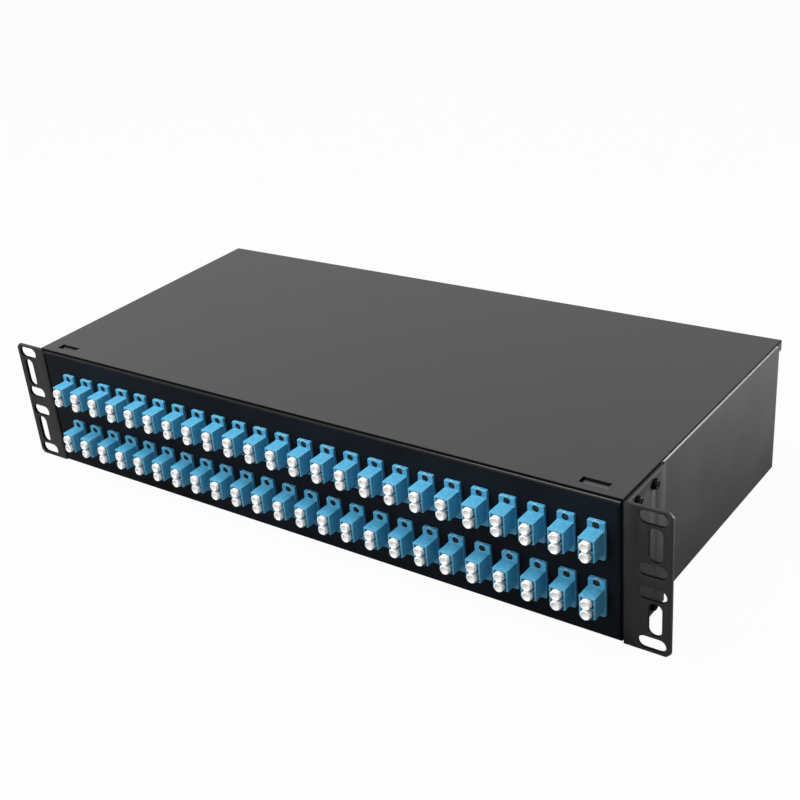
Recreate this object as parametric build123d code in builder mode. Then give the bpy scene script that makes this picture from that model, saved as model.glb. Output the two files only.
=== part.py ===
"""Two-unit 19 inch rack panel with forty-eight duplex fibre adapters and a case for splicing.

Millimetres. X runs to the right as seen from the front, Y from the front to the rear, Z up.
The origin is the middle of the rack slot pattern, on the rear face of the ears, where they
meet the rails of a rack.
"""
import os

from build123d import *

# Rack pattern and ears
rack_width = 482.6
ear_reach = 26.3
ear_sheet = 2.0
ear_inside_radius = 1.0
ear_corner_cut = 3.0
ear_flange_depth = 44.6
level_slot_inset = 10.3
upright_slot_inset = 8.75
outer_slot_inset = 5.4
inner_slot_rise = 14.1
level_slot_length = 15.6
level_slot_width = 7.6
upright_slot_length = 20.0
upright_slot_width = 7.6

# Case of folded steel sheet
body_height = 87.0
body_depth = 206.0
cover_above_ears = 1.4
wall_setback = 1.0
sheet = 1.2
sheet_inside_radius = 0.8
rear_corner_radius = 2.3
side_flange_width = 10.0
cover_gap = 0.3
lip_height = 7.2
lip_gap = 0.2
lip_end_gap = 0.3
tab_height = 5.5
cut_overrun = 1.0

# Front panel of folded steel sheet
panel_sheet = 1.5
panel_inside_radius = 0.6
panel_side_gap = 0.2
top_return_depth = 7.0
bottom_return_depth = 12.0
side_return_depth = 9.0
corner_relief = 3.0

# Hooks that hold the front edge of the cover
hook_slot_length = 16.0
hook_slot_width = 6.0
hook_slot_from_side = 11.0
hook_slot_from_front = 5.3
hook_side_gap = 1.0
hook_step_run = 0.6
hook_step_drop = 1.4
hook_shelf_run = 2.1
hook_shelf_drop = 0.4
hook_ramp_run = 1.2
hook_tip_from_front = 4.5
hook_gap = 0.2

# Duplex adapters and their cut-outs
adapters_per_row = 24
adapters_per_group = 6
row_end_margin = 10.4
row_rise = 34.8
row_middle_z = 0.1
block_offset = 5.3
adapter_width = 9.2
adapter_height = 13.0
adapter_front_reach = 8.9
adapter_rear_reach = 15.0
flange_width = 9.8
flange_height = 22.4
flange_thickness = 2.1
cutout_gap = 0.2
port_pitch = 6.25
port_size = 4.8
port_drop = 0.4
port_depth = 8.0

# Dust plugs
plug_head_radius = 2.95
plug_head_thickness = 2.4
plug_head_sides = 6
plug_shank_size = 4.0
plug_shank_length = 6.0
plug_seat_gap = 0.2

# Screws that hold the ears
ear_screw_front_y = 10.0
ear_screw_spacing = 19.0
ear_screw_inset = 5.5
ear_screw_radius = 1.5
ear_screw_head_radius = 3.1
ear_screw_head_height = 2.2
ear_screw_length = 6.0
hole_clearance = 0.3
screw_head_sides = 6
screw_shank_sides = 6

# Screws that hold the cover
cover_screw_inset = 45.0
cover_screw_drop = 4.4
cover_screw_radius = 1.5
cover_screw_head_radius = 2.6
cover_screw_head_height = 1.9
cover_screw_length = 7.0

# Cable glands in the rear wall
gland_inset = 50.0
gland_rise = 32.8
gland_across_flats = 24.0
gland_flange_thickness = 5.0
gland_thread_radius = 10.0
gland_outer_thread = 8.0
gland_inner_thread = 12.0
gland_bore_radius = 7.0
gland_seal_radius = 8.6
gland_seal_bore_radius = 6.0
gland_seal_length = 5.0
gland_seat_gap = 0.3
dome_length = 17.0
dome_nose_cut = 3.0
dome_hole_radius = 6.8
dome_end_wall = 2.0
round_flats = 12
locknut_thickness = 5.0
thread_clearance = 0.15

# Splice trays on studs
tray_side_gap = 23.0
tray_middle_gap = 32.0
tray_front_y = 72.0
tray_rear_gap = 8.0
tray_corner_cut = 14.0
tray_height = 12.0
tray_wall = 1.6
tray_entry_width = 14.0
tray_entry_inset = 26.0
tray_cover_thickness = 1.5
tray_cover_gap = 0.2
stud_spacing = 130.0
stud_base_across_flats = 8.0
stud_base_height = 6.0
stud_radius = 1.5
stud_length = 7.0
tray_nut_across_flats = 5.5
tray_nut_height = 2.4
comb_width = 61.0
comb_depth = 26.0
comb_base_height = 2.0
comb_tooth_height = 4.0
comb_pitch = 10.0
comb_teeth = 7
comb_tooth_width = 2.4

# Cable anchors, fibre rings and earth stud
anchor_width = 34.0
anchor_foot = 12.0
anchor_height = 30.0
anchor_sheet = 1.5
anchor_inside_radius = 1.0
anchor_to_wall = 18.6
anchor_slot_width = 3.0
anchor_slot_length = 10.0
anchor_slot_spacing = 18.0
anchor_slot_drop = 9.0
ring_inset = 50.0
ring_y = 46.0
ring_width = 24.0
ring_height = 18.0
ring_wall = 2.0
ring_depth = 10.0
ring_gap = 5.0
ring_corner_cut = 3.0
earth_x = -60.0
earth_rise = 16.8
earth_stud_radius = 3.0
earth_stud_length = 16.0
earth_head_across_flats = 10.0
earth_head_height = 4.0
earth_nut_height = 5.0

# Levels and faces worked out from the sizes above
body_width = rack_width - 2 * ear_reach
ear_height = body_height - cover_above_ears
front_y = -ear_sheet
base_z = -ear_height / 2
cover_top_z = base_z + body_height
cover_under_z = cover_top_z - sheet
wall_top_z = cover_under_z - cover_gap
floor_top_z = base_z + sheet
wall_outer_x = body_width / 2
wall_inner_x = wall_outer_x - sheet
cover_rear_y = front_y + body_depth
rear_wall_y = cover_rear_y - sheet - lip_gap
rear_wall_inner_y = rear_wall_y - sheet
sheet_mid_radius = sheet_inside_radius + sheet / 2
level_slot_x = rack_width / 2 - level_slot_inset
upright_slot_x = rack_width / 2 - upright_slot_inset
outer_slot_rise = ear_height - 2 * outer_slot_inset
upright_slot_z = (outer_slot_rise + inner_slot_rise) / 4
hook_slot_x = wall_outer_x - hook_slot_from_side - hook_slot_length / 2
hook_slot_rear_y = front_y + hook_slot_from_front + hook_slot_width
cover_screw_x = wall_outer_x - cover_screw_inset
cover_screw_z = cover_top_z - cover_screw_drop
adapter_pitch = (body_width - 2 * row_end_margin) / adapters_per_row
groups_per_row = adapters_per_row // adapters_per_group
group_pitch = adapter_pitch * adapters_per_group
flange_face_y = front_y - flange_thickness
adapter_front_y = flange_face_y - adapter_front_reach
adapter_rear_y = front_y + adapter_rear_reach
gland_x = wall_outer_x - gland_inset
gland_z = base_z + gland_rise
earth_z = base_z + earth_rise
gland_body_rear_y = rear_wall_y + gland_flange_thickness
gland_seal_front_y = gland_body_rear_y + gland_outer_thread
anchor_y = rear_wall_y - anchor_to_wall
ring_spacing = 2 * (wall_outer_x - ring_inset) / 3
tray_width = wall_outer_x - tray_side_gap - tray_middle_gap / 2
tray_depth = anchor_y - tray_rear_gap - tray_front_y
tray_x = (tray_width + tray_middle_gap) / 2
tray_middle_y = tray_front_y + tray_depth / 2
tray_base_z = floor_top_z + stud_base_height
tray_rim_z = tray_base_z + tray_height


def facing_front(depth):
    """A plane parallel to the front panel at this depth, with its normal to the front."""
    return Plane.XZ.offset(-depth)


def facing_side(place):
    """A plane parallel to the side walls, with its normal to the right."""
    return Plane.YZ.offset(place)


def facing_up(level):
    """A level plane at this height."""
    return Plane.XY.offset(level)


def save(part, label):
    """Name one sub-part and write it to its own file."""
    part.label = label
    export_step(part, f"parts/{label}.step")


def ear_screw_places():
    """The four screw places on a side wall, in depth and height."""
    rear_y = ear_screw_front_y + ear_screw_spacing
    half_rise = ear_height / 2 - ear_screw_inset
    return [(y, z) for y in (ear_screw_front_y, rear_y) for z in (-half_rise, half_rise)]


def make_chassis_tray():
    """Floor, side walls with inward top flanges, and rear wall, folded from one sheet."""
    wall_mid_x = wall_outer_x - sheet / 2
    floor_mid_z = base_z + sheet / 2
    flange_mid_z = wall_top_z - sheet / 2
    flange_edge_x = wall_outer_x - side_flange_width
    flange_zone = sheet + sheet_inside_radius + cut_overrun
    flange_start_y = front_y + top_return_depth + lip_end_gap
    floor_start_y = front_y + bottom_return_depth + lip_end_gap
    tab_front_y = rear_wall_y - rear_corner_radius - sheet
    with BuildPart() as tray:
        with BuildSketch(facing_front(rear_wall_y)):
            with BuildLine():
                FilletPolyline(
                    (-flange_edge_x, flange_mid_z),
                    (-wall_mid_x, flange_mid_z),
                    (-wall_mid_x, floor_mid_z),
                    (wall_mid_x, floor_mid_z),
                    (wall_mid_x, flange_mid_z),
                    (flange_edge_x, flange_mid_z),
                    radius=sheet_mid_radius,
                )
            trace(line_width=sheet)
        extrude(amount=rear_wall_y - front_y - wall_setback)
        # The side flanges and the floor stop behind the returns of the front panel
        with BuildSketch(facing_up(wall_top_z)):
            with Locations((0, (front_y + flange_start_y) / 2)):
                Rectangle(2 * wall_inner_x, flange_start_y - front_y)
        extrude(amount=-flange_zone, mode=Mode.SUBTRACT)
        with BuildSketch(facing_up(base_z)):
            with Locations((0, (front_y + floor_start_y) / 2)):
                Rectangle(2 * wall_inner_x, floor_start_y - front_y)
        extrude(amount=flange_zone, mode=Mode.SUBTRACT)
        with BuildSketch(facing_front(rear_wall_y)):
            with Locations((0, (floor_top_z + wall_top_z) / 2)):
                Rectangle(2 * wall_inner_x, wall_top_z - floor_top_z)
        extrude(amount=sheet)
        # The rear corners are bent, so they are round in plan
        with BuildSketch(facing_up(base_z)) as plan:
            with Locations((0, (front_y + rear_wall_y) / 2)):
                Rectangle(body_width, rear_wall_y - front_y)
            fillet(plan.vertices().group_by(Axis.Y)[-1], radius=rear_corner_radius)
        extrude(amount=wall_top_z - base_z, mode=Mode.INTERSECT)
        # A tab on each side wall closes the end of the cover's lip
        with BuildSketch(facing_up(wall_top_z)):
            with Locations(*((side * wall_mid_x, (tab_front_y + cover_rear_y) / 2) for side in (-1, 1))):
                Rectangle(sheet, cover_rear_y - tab_front_y)
        extrude(amount=-tab_height)
        with BuildSketch(facing_front(rear_wall_y)):
            with Locations((-gland_x, gland_z), (gland_x, gland_z)):
                RegularPolygon(gland_thread_radius + thread_clearance, round_flats)
            with Locations(*((step * cover_screw_x, cover_screw_z) for step in (-1, 0, 1))):
                RegularPolygon(cover_screw_radius + hole_clearance, screw_shank_sides)
            with Locations((earth_x, earth_z)):
                RegularPolygon(earth_stud_radius + thread_clearance, round_flats, major_radius=False)
        extrude(amount=sheet, mode=Mode.SUBTRACT)
        with BuildSketch(facing_side(wall_outer_x)):
            with Locations(*ear_screw_places()):
                RegularPolygon(ear_screw_radius + hole_clearance, screw_shank_sides)
        extrude(amount=-body_width, mode=Mode.SUBTRACT)
    save(tray.part, "chassis_tray")


def make_front_panel():
    """Front plate with four returns folded to the rear and a cut-out for each adapter."""
    face_mid_y = front_y + panel_sheet / 2
    top_mid_z = wall_top_z - panel_sheet / 2
    bottom_mid_z = base_z + panel_sheet / 2
    panel_edge_x = wall_inner_x - panel_side_gap
    side_mid_x = panel_edge_x - panel_sheet / 2
    side_height = wall_top_z - base_z - 2 * corner_relief
    mid_radius = panel_inside_radius + panel_sheet / 2
    with BuildPart() as panel:
        with BuildSketch(facing_side(panel_edge_x)):
            with BuildLine():
                FilletPolyline(
                    (front_y + top_return_depth, top_mid_z),
                    (face_mid_y, top_mid_z),
                    (face_mid_y, bottom_mid_z),
                    (front_y + bottom_return_depth, bottom_mid_z),
                    radius=mid_radius,
                )
            trace(line_width=panel_sheet)
        extrude(amount=-2 * panel_edge_x)
        # Between the corner reliefs the face ends in the bends of the side returns
        with BuildSketch(facing_front(front_y)):
            with Locations((0, (base_z + wall_top_z) / 2)):
                with GridLocations(2 * panel_edge_x - corner_relief, side_height, 2, 1):
                    Rectangle(corner_relief, side_height)
        extrude(amount=-panel_sheet, mode=Mode.SUBTRACT)
        with BuildSketch(facing_up(base_z + corner_relief)):
            with BuildLine():
                FilletPolyline(
                    (-side_mid_x, front_y + side_return_depth),
                    (-side_mid_x, face_mid_y),
                    (side_mid_x, face_mid_y),
                    (side_mid_x, front_y + side_return_depth),
                    radius=mid_radius,
                )
            trace(line_width=panel_sheet)
        extrude(amount=side_height)
        with BuildSketch(facing_front(front_y)):
            with Locations((block_offset, row_middle_z)):
                with GridLocations(adapter_pitch, row_rise, adapters_per_row, 2):
                    Rectangle(adapter_width + 2 * cutout_gap, adapter_height + 2 * cutout_gap)
        extrude(amount=-panel_sheet, mode=Mode.SUBTRACT)
    save(panel.part, "front_panel")


def make_top_cover():
    """Flat cover with a lip at the rear and two hooks pressed out near its front corners."""
    cover_mid_z = cover_top_z - sheet / 2
    lip_mid_y = cover_rear_y - sheet / 2
    lip_end_x = wall_inner_x - lip_end_gap
    lip_end_width = wall_outer_x - lip_end_x
    hook_mid_z = wall_top_z - panel_sheet - hook_gap - sheet / 2
    hook_width = hook_slot_length - 2 * hook_side_gap
    step_y = hook_slot_rear_y - hook_step_run
    step_z = cover_mid_z - hook_step_drop
    shelf_y = step_y - hook_shelf_run
    hook_slot_mid_y = hook_slot_rear_y - hook_slot_width / 2
    with BuildPart() as cover:
        with BuildSketch(facing_side(wall_outer_x)):
            with BuildLine():
                FilletPolyline(
                    (front_y, cover_mid_z),
                    (lip_mid_y, cover_mid_z),
                    (lip_mid_y, cover_top_z - lip_height),
                    radius=sheet_mid_radius,
                )
            trace(line_width=sheet)
        extrude(amount=-body_width)
        with BuildSketch(facing_up(cover_under_z)):
            with Locations(*((side * (lip_end_x + lip_end_width / 2), cover_rear_y) for side in (-1, 1))):
                Rectangle(lip_end_width, 4 * sheet_mid_radius)
        extrude(amount=-lip_height, mode=Mode.SUBTRACT)
        with BuildSketch(facing_up(cover_top_z)):
            with Locations((-hook_slot_x, hook_slot_mid_y), (hook_slot_x, hook_slot_mid_y)):
                Rectangle(hook_slot_length, hook_slot_width)
        extrude(amount=-sheet, mode=Mode.SUBTRACT)
        for side in (-1, 1):
            with BuildSketch(facing_side(side * hook_slot_x - hook_width / 2)):
                with BuildLine():
                    Polyline(
                        (hook_slot_rear_y + 2 * sheet, cover_mid_z),
                        (hook_slot_rear_y, cover_mid_z),
                        (step_y, step_z),
                        (shelf_y, step_z - hook_shelf_drop),
                        (shelf_y - hook_ramp_run, hook_mid_z),
                        (front_y + hook_tip_from_front, hook_mid_z),
                    )
                trace(line_width=sheet)
            extrude(amount=hook_width)
        with BuildSketch(facing_front(cover_rear_y)):
            with Locations(*((step * cover_screw_x, cover_screw_z) for step in (-1, 0, 1))):
                RegularPolygon(cover_screw_radius + hole_clearance, screw_shank_sides)
        extrude(amount=sheet, mode=Mode.SUBTRACT)
    save(cover.part, "top_cover")


def make_rack_ear(label, side):
    """Angle bracket: its ear carries the rack slots, its flange lies along the side wall."""
    ear_mid_y = front_y + ear_sheet / 2
    flange_mid_x = wall_outer_x + ear_sheet / 2
    level_slot_zs = [sign * rise / 2 for rise in (outer_slot_rise, inner_slot_rise) for sign in (-1, 1)]
    with BuildPart() as ear:
        with BuildSketch(facing_up(base_z)):
            with BuildLine():
                FilletPolyline(
                    (side * rack_width / 2, ear_mid_y),
                    (side * flange_mid_x, ear_mid_y),
                    (side * flange_mid_x, front_y + ear_flange_depth),
                    radius=ear_inside_radius + ear_sheet / 2,
                )
            trace(line_width=ear_sheet)
        extrude(amount=ear_height)
        tip_edges = ear.edges().filter_by(Axis.Y).group_by(SortBy.LENGTH)[0]
        chamfer(tip_edges.group_by(Axis.X)[-1 if side > 0 else 0], length=ear_corner_cut)
        with BuildSketch(facing_front(0)):
            with Locations(*((side * level_slot_x, z) for z in level_slot_zs)):
                SlotOverall(level_slot_length, level_slot_width)
            with Locations(*((side * upright_slot_x, sign * upright_slot_z) for sign in (-1, 1))):
                SlotOverall(upright_slot_length, upright_slot_width, rotation=90)
        extrude(amount=ear_sheet, mode=Mode.SUBTRACT)
        with BuildSketch(facing_side(side * wall_outer_x)):
            with Locations(*ear_screw_places()):
                RegularPolygon(ear_screw_radius + hole_clearance, screw_shank_sides)
        extrude(amount=side * ear_sheet, mode=Mode.SUBTRACT)
    save(ear.part, label)


def make_screws(label, seat_plane, places, head_radius, head_height, shank_radius, length):
    """Pan head screws whose heads stand on the seat plane and whose shanks go through it."""
    with BuildPart() as screws:
        with BuildSketch(seat_plane):
            with Locations(*places):
                RegularPolygon(head_radius, screw_head_sides)
        extrude(amount=head_height)
        with BuildSketch(seat_plane):
            with Locations(*places):
                RegularPolygon(shank_radius, screw_shank_sides)
        extrude(amount=-length)
    save(screws.part, label)


def make_ear_screws(side_name, side):
    """Four screws through an ear's flange into the threads of the side wall."""
    outward = Plane(origin=(0, 0, 0), x_dir=(0, side, 0), z_dir=(side, 0, 0))
    make_screws(
        f"{side_name}_ear_screws",
        outward.offset(wall_outer_x + ear_sheet),
        [(side * y, z) for y, z in ear_screw_places()],
        ear_screw_head_radius,
        ear_screw_head_height,
        ear_screw_radius,
        ear_screw_length,
    )


def make_cover_screws():
    """Three screws through the cover's lip into the threads of the rear wall."""
    rearward = Plane(origin=(0, 0, 0), x_dir=(-1, 0, 0), z_dir=(0, 1, 0))
    make_screws(
        "top_cover_screws",
        rearward.offset(cover_rear_y),
        [(step * cover_screw_x, cover_screw_z) for step in (-1, 0, 1)],
        cover_screw_head_radius,
        cover_screw_head_height,
        cover_screw_radius,
        cover_screw_length,
    )


def make_adapters(label, group_x, row_z):
    """Moulded duplex adapters of one group: body, mounting flange and two ports each."""
    with BuildPart() as adapters:
        with BuildSketch(facing_front(adapter_rear_y)):
            with Locations((group_x, row_z)):
                with GridLocations(adapter_pitch, adapter_pitch, adapters_per_group, 1):
                    Rectangle(adapter_width, adapter_height)
        extrude(amount=adapter_rear_y - adapter_front_y)
        with BuildSketch(facing_front(front_y)):
            with Locations((group_x, row_z)):
                with GridLocations(adapter_pitch, adapter_pitch, adapters_per_group, 1):
                    Rectangle(flange_width, flange_height)
        extrude(amount=flange_thickness)
        with BuildSketch(facing_front(adapter_front_y)):
            with Locations((group_x, row_z - port_drop)):
                with GridLocations(adapter_pitch, port_pitch, adapters_per_group, 2):
                    Rectangle(port_size, port_size)
        extrude(amount=-port_depth, mode=Mode.SUBTRACT)
    save(adapters.part, label)


def make_dust_plugs(label, group_x, row_z):
    """Dust plugs of one group: a round head over each port and a shank inside it."""
    head_rear_y = adapter_front_y - plug_seat_gap
    with BuildPart() as plugs:
        with BuildSketch(facing_front(head_rear_y)):
            with Locations((group_x, row_z - port_drop)):
                with GridLocations(adapter_pitch, port_pitch, adapters_per_group, 2):
                    RegularPolygon(plug_head_radius, plug_head_sides, major_radius=False)
        extrude(amount=plug_head_thickness)
        with BuildSketch(facing_front(head_rear_y)):
            with Locations((group_x, row_z - port_drop)):
                with GridLocations(adapter_pitch, port_pitch, adapters_per_group, 2):
                    Rectangle(plug_shank_size, plug_shank_size)
        extrude(amount=-plug_shank_length)
    save(plugs.part, label)


def make_adapter_rows():
    """Both rows of adapters and plugs, in groups of twelve fibres."""
    middle = (groups_per_row - 1) / 2
    for row_name, sign in (("upper", 1), ("lower", -1)):
        row_z = row_middle_z + sign * row_rise / 2
        for group in range(groups_per_row):
            group_x = block_offset + (group - middle) * group_pitch
            make_adapters(f"{row_name}_adapters_{group + 1}", group_x, row_z)
            make_dust_plugs(f"{row_name}_dust_plugs_{group + 1}", group_x, row_z)


def make_gland_bodies():
    """Both cable glands: bodies through the rear wall, locknuts inside, rubber seals outside."""
    places = [(side * gland_x, gland_z) for side in (-1, 1)]
    body_length = gland_outer_thread + gland_flange_thickness + gland_inner_thread
    with BuildPart() as bodies:
        with BuildSketch(facing_front(gland_body_rear_y)):
            with Locations(*places):
                RegularPolygon(gland_across_flats / 2, 6, major_radius=False)
        extrude(amount=gland_flange_thickness)
        with BuildSketch(facing_front(gland_seal_front_y)):
            with Locations(*places):
                RegularPolygon(gland_thread_radius, round_flats)
        extrude(amount=body_length)
        with BuildSketch(facing_front(gland_seal_front_y)):
            with Locations(*places):
                RegularPolygon(gland_bore_radius, round_flats, major_radius=False)
        extrude(amount=body_length, mode=Mode.SUBTRACT)
    save(bodies.part, "gland_bodies")
    with BuildPart() as seals:
        with BuildSketch(facing_front(gland_seal_front_y + gland_seal_length)):
            with Locations(*places):
                RegularPolygon(gland_seal_radius, round_flats)
                Circle(gland_seal_bore_radius, mode=Mode.SUBTRACT)
        extrude(amount=gland_seal_length)
    save(seals.part, "gland_seals")
    with BuildPart() as locknuts:
        with BuildSketch(facing_front(rear_wall_inner_y)):
            with Locations(*places):
                RegularPolygon(gland_across_flats / 2, 6, major_radius=False)
                RegularPolygon(gland_thread_radius + thread_clearance, round_flats, mode=Mode.SUBTRACT)
        extrude(amount=locknut_thickness)
    save(locknuts.part, "gland_locknuts")


def make_dome_nut(side_name, side):
    """Hexagon dome nut of one gland: it turns on the body's thread and squeezes the seal."""
    place = (side * gland_x, gland_z)
    dome_front_y = gland_body_rear_y + gland_seat_gap
    dome_rear_y = dome_front_y + dome_length
    with BuildPart() as dome:
        with BuildSketch(facing_front(dome_rear_y)):
            with Locations(place):
                RegularPolygon(gland_across_flats / 2, 6, major_radius=False)
        extrude(amount=dome_rear_y - dome_front_y)
        chamfer(dome.faces().sort_by(Axis.Y)[-1].edges(), length=dome_nose_cut)
        with BuildSketch(facing_front(dome_rear_y - dome_end_wall)):
            with Locations(place):
                RegularPolygon(gland_thread_radius + gland_seat_gap, round_flats, major_radius=False)
        extrude(amount=dome_rear_y - dome_end_wall - dome_front_y, mode=Mode.SUBTRACT)
        with BuildSketch(facing_front(dome_rear_y)):
            with Locations(place):
                RegularPolygon(dome_hole_radius, round_flats, major_radius=False)
        extrude(amount=dome_end_wall, mode=Mode.SUBTRACT)
    save(dome.part, f"{side_name}_gland_dome_nut")


def make_splice_tray(side_name, side):
    """Shallow moulded tray with a splice comb in its middle and a clear cover on its rim."""
    middle = (side * tray_x, tray_middle_y)
    entry_x = tray_width / 2 - tray_entry_inset
    comb_base_z = tray_base_z + tray_wall
    comb_top_z = comb_base_z + comb_base_height
    with BuildPart() as tray:
        with BuildSketch(facing_up(tray_base_z)) as outline:
            with Locations(middle):
                Rectangle(tray_width, tray_depth)
            chamfer(outline.vertices(), length=tray_corner_cut)
        extrude(amount=tray_height)
        with BuildSketch(facing_up(tray_base_z + tray_wall)) as hollow:
            with Locations(middle):
                Rectangle(tray_width, tray_depth)
            chamfer(hollow.vertices(), length=tray_corner_cut)
            offset(amount=-tray_wall, kind=Kind.INTERSECTION, mode=Mode.REPLACE)
        extrude(amount=tray_height, mode=Mode.SUBTRACT)
        # Fibres come in through two gaps in the front wall and two in the rear wall
        with BuildSketch(facing_up(tray_base_z + tray_wall)):
            with Locations(middle):
                with GridLocations(2 * entry_x, tray_depth, 2, 2):
                    Rectangle(tray_entry_width, 4 * tray_wall)
        extrude(amount=tray_height, mode=Mode.SUBTRACT)
        with BuildSketch(facing_up(tray_base_z)):
            with Locations(middle):
                with GridLocations(stud_spacing, stud_spacing, 2, 1):
                    RegularPolygon(stud_radius + hole_clearance, screw_shank_sides)
        extrude(amount=tray_wall, mode=Mode.SUBTRACT)
    save(tray.part, f"{side_name}_splice_tray")
    with BuildPart() as comb:
        with BuildSketch(facing_front(tray_middle_y + comb_depth / 2)):
            with Locations((side * tray_x, (comb_base_z + comb_top_z) / 2)):
                Rectangle(comb_width + comb_tooth_width, comb_base_height)
            with Locations((side * tray_x, comb_top_z + comb_tooth_height / 2)):
                with GridLocations(comb_pitch, comb_pitch, comb_teeth, 1):
                    Rectangle(comb_tooth_width, comb_tooth_height)
        extrude(amount=comb_depth)
    save(comb.part, f"{side_name}_splice_comb")
    with BuildPart() as cover:
        with BuildSketch(facing_up(tray_rim_z + tray_cover_gap)) as outline:
            with Locations(middle):
                Rectangle(tray_width, tray_depth)
            chamfer(outline.vertices(), length=tray_corner_cut)
        extrude(amount=tray_cover_thickness)
    save(cover.part, f"{side_name}_tray_cover")


def make_tray_fasteners():
    """Studs that stand on the floor and carry the trays, and the nuts on them."""
    places = [
        (side * tray_x + end * stud_spacing / 2, tray_middle_y) for side in (-1, 1) for end in (-1, 1)
    ]
    with BuildPart() as studs:
        with BuildSketch(facing_up(floor_top_z)):
            with Locations(*places):
                RegularPolygon(stud_base_across_flats / 2, 6, major_radius=False)
        extrude(amount=stud_base_height)
        with BuildSketch(facing_up(tray_base_z)):
            with Locations(*places):
                RegularPolygon(stud_radius, screw_shank_sides)
        extrude(amount=stud_length)
    save(studs.part, "tray_studs")
    with BuildPart() as nuts:
        with BuildSketch(facing_up(tray_base_z + tray_wall)):
            with Locations(*places):
                RegularPolygon(tray_nut_across_flats / 2, 6, major_radius=False)
                RegularPolygon(stud_radius + thread_clearance, screw_shank_sides, mode=Mode.SUBTRACT)
        extrude(amount=tray_nut_height)
    save(nuts.part, "tray_nuts")


def make_cable_anchor(side_name, side):
    """Folded bracket on the floor behind a gland, with slots for the ties round the cable."""
    upright_top_z = floor_top_z + anchor_height
    with BuildPart() as anchor:
        with BuildSketch(facing_side(side * gland_x - anchor_width / 2)):
            with BuildLine():
                FilletPolyline(
                    (anchor_y - anchor_foot, floor_top_z + anchor_sheet / 2),
                    (anchor_y, floor_top_z + anchor_sheet / 2),
                    (anchor_y, upright_top_z),
                    radius=anchor_inside_radius + anchor_sheet / 2,
                )
            trace(line_width=anchor_sheet)
        extrude(amount=anchor_width)
        with BuildSketch(facing_front(anchor_y + anchor_sheet)):
            with Locations((side * gland_x, upright_top_z - anchor_slot_drop)):
                with GridLocations(anchor_slot_spacing, anchor_slot_spacing, 2, 1):
                    Rectangle(anchor_slot_width, anchor_slot_length)
        extrude(amount=2 * anchor_sheet, mode=Mode.SUBTRACT)
    save(anchor.part, f"{side_name}_cable_anchor")


def make_fibre_rings():
    """Open rings on the floor behind the adapters, which lead the fibres to the trays."""
    ring_mid_x = (ring_width - ring_wall) / 2
    low_z = floor_top_z + ring_wall / 2
    high_z = floor_top_z + ring_height - ring_wall / 2
    with BuildPart() as rings:
        for step in (-1.5, -0.5, 0.5, 1.5):
            x = step * ring_spacing
            with BuildSketch(facing_front(ring_y + ring_depth / 2)):
                with BuildLine():
                    Polyline(
                        (x - ring_gap / 2, high_z),
                        (x - ring_mid_x + ring_corner_cut, high_z),
                        (x - ring_mid_x, high_z - ring_corner_cut),
                        (x - ring_mid_x, low_z),
                        (x + ring_mid_x, low_z),
                        (x + ring_mid_x, high_z - ring_corner_cut),
                        (x + ring_mid_x - ring_corner_cut, high_z),
                        (x + ring_gap / 2, high_z),
                    )
                trace(line_width=ring_wall)
            extrude(amount=ring_depth)
    save(rings.part, "fibre_rings")


def make_earth_stud():
    """Threaded stud through the rear wall, with its head inside and a nut outside."""
    place = (earth_x, earth_z)
    nut_rear_y = rear_wall_y + earth_nut_height
    stud_rear_y = rear_wall_inner_y + earth_stud_length
    with BuildPart() as stud:
        with BuildSketch(facing_front(rear_wall_inner_y)):
            with Locations(place):
                RegularPolygon(earth_head_across_flats / 2, 6, major_radius=False)
        extrude(amount=earth_head_height)
        with BuildSketch(facing_front(nut_rear_y)):
            with Locations(place):
                RegularPolygon(earth_stud_radius, round_flats)
        extrude(amount=nut_rear_y - rear_wall_inner_y)
        with BuildSketch(facing_front(stud_rear_y)):
            with Locations(place):
                Circle(earth_stud_radius)
        extrude(amount=stud_rear_y - nut_rear_y)
    save(stud.part, "earth_stud")
    with BuildPart() as nut:
        with BuildSketch(facing_front(nut_rear_y)):
            with Locations(place):
                RegularPolygon(earth_head_across_flats / 2, 6, major_radius=False)
                RegularPolygon(
                    earth_stud_radius + thread_clearance, round_flats, major_radius=False, mode=Mode.SUBTRACT
                )
        extrude(amount=earth_nut_height)
    save(nut.part, "earth_nut")


os.makedirs("parts", exist_ok=True)
make_chassis_tray()
make_front_panel()
make_top_cover()
make_cover_screws()
make_adapter_rows()
make_gland_bodies()
for side_name, side in (("left", -1), ("right", 1)):
    make_rack_ear(f"{side_name}_rack_ear", side)
    make_ear_screws(side_name, side)
    make_dome_nut(side_name, side)
    make_splice_tray(side_name, side)
    make_cable_anchor(side_name, side)
make_tray_fasteners()
make_fibre_rings()
make_earth_stud()
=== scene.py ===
"""Looks of a two-unit 19 inch fibre patch panel: folded black steel, blue adapters, white plugs."""
import math

import bmesh
import bpy
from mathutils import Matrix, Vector


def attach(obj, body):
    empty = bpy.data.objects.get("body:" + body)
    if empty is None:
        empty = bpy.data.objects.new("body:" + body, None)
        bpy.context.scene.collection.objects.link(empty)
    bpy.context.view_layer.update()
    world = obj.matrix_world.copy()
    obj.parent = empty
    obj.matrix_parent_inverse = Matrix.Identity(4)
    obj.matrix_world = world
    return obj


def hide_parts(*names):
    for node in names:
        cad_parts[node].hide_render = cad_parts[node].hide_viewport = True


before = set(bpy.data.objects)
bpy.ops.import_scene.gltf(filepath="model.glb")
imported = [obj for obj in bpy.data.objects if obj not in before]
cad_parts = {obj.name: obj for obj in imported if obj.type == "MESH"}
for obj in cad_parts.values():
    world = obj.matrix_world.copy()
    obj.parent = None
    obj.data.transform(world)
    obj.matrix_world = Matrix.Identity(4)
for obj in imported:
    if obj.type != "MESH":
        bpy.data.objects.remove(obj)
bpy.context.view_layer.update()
bpy.ops.object.select_all(action="DESELECT")

MM = 0.001

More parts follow.
